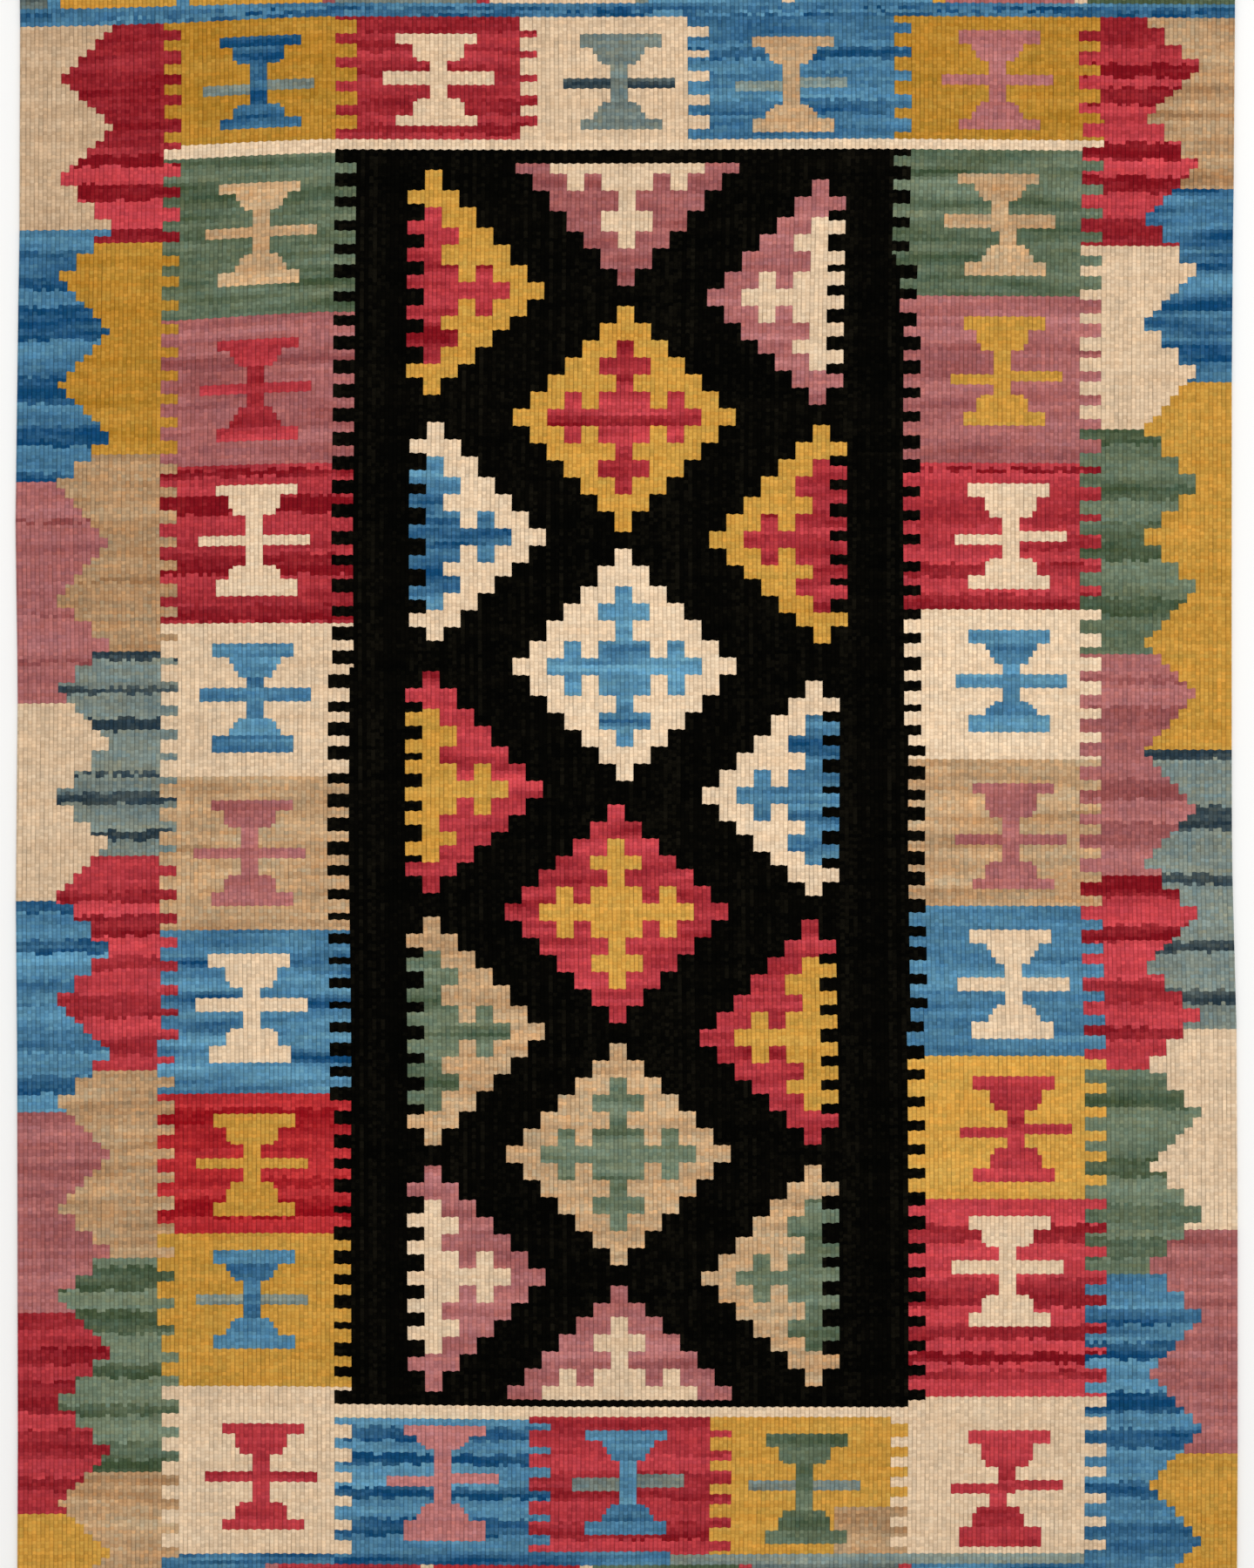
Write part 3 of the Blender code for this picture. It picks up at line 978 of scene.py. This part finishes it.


# %% [markdown]
# ## The wool
#
# The area gives a deep and a pale dye. Streaks of abrash depend nearly on the row alone, because
# a weft crosses its whole area at once: they are noise that is stretched far along the row and
# cut into whole rows. On top of that every float and every rib differs a little, the grooves
# are darkened with painted shade and a little dust, the ends of the floats with painted shade,
# and fine fibres, with pale loose ones and a painted sheen, give the wool its dull, soft look.
# The relief is a bump: floats are round, ribs are round, and the yarn is fuzzy.

# %% The wool finish
STREAK_ROWS = 5.5     # rows in one broad streak of abrash
STREAK_RIBS = 60.0    # ribs over which it fades into another
FINE_STREAK_ROWS = 2.2
FINE_STREAK_RIBS = 0.3 * STREAK_RIBS
HUE_ROWS = 1.8        # the same for a change of hue
HUE_RIBS = 0.2 * STREAK_RIBS
FLOAT_UNEVEN = 0.10   # how much single floats differ in brightness
RIB_UNEVEN = 0.05     # how much single ribs do
FIBRE_UNEVEN = 0.06
GROOVE_DUST_AND_PAINTED_SHADE = 0.31   # painted shade and a little dust: how much darker the bottom of a groove is
PAINTED_FLOAT_END_SHADE = 0.09    # painted shade: how much darker the ends of a float are
FIBRE_DUST_AND_SHEEN = 0.006  # painted sheen and pale loose fibres: light added on top of the dye
FLOAT_RELIEF_MM = 0.30
FIBRE_RELIEF_MM = 0.12
FIBRES_PER_METRE = 1400.0

wool = Graph("wool_weave")
uv = wool.add("ShaderNodeUVMap", uv_map="weave")
across_ribs, down_rows = wool.parts(uv, 2)
rib = across_ribs.floor()
groove_number = (across_ribs + 0.5).floor()
row = down_rows.floor()
from_crown = abs((across_ribs - rib) - 0.5) * 2.0
from_middle = abs((down_rows - row) - 0.5) * 2.0

deep_dye = wool.add("ShaderNodeAttribute", attribute_name="deep")
pale_dye = wool.add("ShaderNodeAttribute", attribute_name="pale")
lot = wool.add("ShaderNodeAttribute", attribute_name="lot", output=1)
drift = wool.add("ShaderNodeAttribute", attribute_name="drift", output=2)
shade, streaks, seed = wool.parts(lot, 3)

broad = wool.noise(wool.vector(rib / STREAK_RIBS, row / STREAK_ROWS, seed), detail=1.0)
fine_place = wool.vector(rib / FINE_STREAK_RIBS, row / FINE_STREAK_ROWS, seed + 31.0)
fine = wool.noise(fine_place, detail=0.0)
tone = shade + streaks * (broad * 0.6 + fine * 0.36)
each_float = wool.dice(wool.vector(rib, row, 0.5))
each_rib = wool.dice(wool.vector(rib, 0.5, 0.5))
rib_run = wool.noise(wool.vector(rib * 1.7, row / 9.0, 5.0), detail=2.0)
tone = (tone + each_float * 0.05).clamped()
dyed = wool.mix(tone, deep_dye, pale_dye)

hue_place = wool.vector(rib / HUE_RIBS, row / HUE_ROWS, seed + 57.0)
other_float = wool.dice(wool.vector(rib, row, 7.5))
warmth = drift * (wool.noise(hue_place, detail=1.0) + rib_run * 0.6 + other_float * 0.5)
warmed = wool.add("ShaderNodeVectorMath", {0: dyed, 1: wool.vector(1.0 + warmth, 1.0, 1.0 - warmth)},
                  operation="MULTIPLY")

position = wool.add("ShaderNodeTexCoord", output=3)
fibre = wool.noise(position, scale=FIBRES_PER_METRE, detail=2.0, rough=0.6)
# Painted shade, with a little dust, darkens the bottom of each groove, more in some grooves than in others.
groove_shade_unevenness = 1.0 + wool.noise(wool.vector(groove_number * 1.3, row / 11.0, 9.0), detail=1.0) * 1.6
groove_dust_and_painted_shade = from_crown ** 5.0 * groove_shade_unevenness * GROOVE_DUST_AND_PAINTED_SHADE
# Painted shade darkens the ends of each float, where it dips between its neighbours.
painted_float_end_shade = from_middle ** 6.0 * PAINTED_FLOAT_END_SHADE
# Brightness: random unevenness of floats, ribs and fibres, then times the painted shade of grooves and float
# ends.
light = 1.0 + each_float * FLOAT_UNEVEN + each_rib * RIB_UNEVEN + rib_run * RIB_UNEVEN
light = (light + fibre * FIBRE_UNEVEN) * (1.0 - groove_dust_and_painted_shade) * (1.0 - painted_float_end_shade)
dye_with_painted_shade = wool.add("ShaderNodeVectorMath", {0: warmed, 3: light}, operation="SCALE")

# Loose pale fibres and a painted sheen of the fibres lie on every yarn, but show only on the black one.
fibre_dust_and_sheen = (each_rib * 0.3 + each_float * 0.3 + rib_run * 0.4 + fibre * 0.4).clamped() * FIBRE_DUST_AND_SHEEN
dye_with_dust_and_sheen = wool.add("ShaderNodeVectorMath", {0: dye_with_painted_shade, 1: wool.vector(fibre_dust_and_sheen * 1.2, fibre_dust_and_sheen, fibre_dust_and_sheen * 0.6)},
                  operation="ADD")
wool.set("Base Color", dye_with_dust_and_sheen)

rib_round = (from_crown - from_crown ** 2.0) * (RIB_DEPTH / MM)
float_round = (1.0 - from_middle ** 4.0) * (1.0 - from_crown ** 3.0 * 0.5) * FLOAT_RELIEF_MM
relief_mm = rib_round + float_round + fibre * FIBRE_RELIEF_MM
bump = wool.add("ShaderNodeBump", {"Height": relief_mm, "Distance": MM, "Strength": 0.8})
wool.set("Normal", bump)
wool.set("Roughness", (0.9 + fibre * 0.05).clamped())
wool.set("Specular IOR Level", 0.02)
rug.data.materials.append(wool.material)

print(len(wool.tree.nodes), "nodes in the wool")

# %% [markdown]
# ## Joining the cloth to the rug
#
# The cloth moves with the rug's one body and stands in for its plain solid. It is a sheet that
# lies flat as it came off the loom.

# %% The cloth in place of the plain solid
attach(rug, "root")
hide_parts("rug")

# %% [markdown]
# ## Floor, light and camera
#
# The rug lies on a plain, nearly white floor under a bright even sky, with one wide soft lamp at
# the upper right that just shows the ribs. The camera looks straight down with a long lens, and
# its picture is as high as the part of the rug that it shows.

# %% Floor and light
FLOOR_SIZE = 40.0
FLOOR_COLOUR = (0.80, 0.80, 0.793, 1.0)
FLOOR_GRAIN = 0.015
FLOOR_GAP = 0.0004  # gap between the floor and the cloth
SKY_COLOUR = (1.0, 0.995, 0.985, 1.0)
SKY_STRENGTH = 0.92
LAMP_PLACE = (0.5, 0.9, 2.6)
LAMP_SIZE = 1.2
LAMP_POWER = 25.0

bpy.ops.mesh.primitive_grid_add(x_subdivisions=8, y_subdivisions=8, size=FLOOR_SIZE,
                                location=(0, 0, -FLOOR_GAP))
floor = bpy.context.object
floor.name = "floor"
plaster = Graph("pale_floor")
spot = plaster.add("ShaderNodeTexCoord", output=3)
cloud = plaster.noise(spot, scale=3.0, detail=3.0)
white = plaster.add("ShaderNodeRGB")
white.socket.default_value = FLOOR_COLOUR
grain = 1.0 + cloud * FLOOR_GRAIN
plaster.set("Base Color", plaster.add("ShaderNodeVectorMath", {0: white, 3: grain}, operation="SCALE"))
plaster.set("Roughness", 0.85)
floor.data.materials.append(plaster.material)

world = bpy.data.worlds.new("studio")
world.use_nodes = True
sky = world.node_tree.nodes["Background"]
sky.inputs["Color"].default_value = SKY_COLOUR
sky.inputs["Strength"].default_value = SKY_STRENGTH
bpy.context.scene.world = world

lamp_data = bpy.data.lights.new("soft_lamp", "AREA")
lamp_data.shape = "DISK"
lamp_data.size = LAMP_SIZE
lamp_data.energy = LAMP_POWER
lamp = bpy.data.objects.new("soft_lamp", lamp_data)
lamp.location = LAMP_PLACE
towards_rug = -lamp.location
lamp.rotation_euler = towards_rug.to_track_quat("-Z", "Y").to_euler()
bpy.context.collection.objects.link(lamp)
bpy.context.scene.view_settings.view_transform = "Standard"

# %% Camera
PICTURE_HEIGHT = 1.2893  # length of rug that the picture shows
PICTURE_CENTRE_X = 0.0005
LENS_MM = 100.0
SENSOR_MM = 36.0         # lies along the picture's long side

camera_data = bpy.data.cameras.new("camera")
camera_data.lens = LENS_MM
camera_data.sensor_width = SENSOR_MM
camera = bpy.data.objects.new("camera", camera_data)
camera_height = PICTURE_HEIGHT * LENS_MM / SENSOR_MM + CLOTH_THICKNESS
camera.location = (PICTURE_CENTRE_X, 0.0, camera_height)
bpy.context.collection.objects.link(camera)
bpy.context.scene.camera = camera

print(f"the camera is {camera_height:.2f} m above the floor")
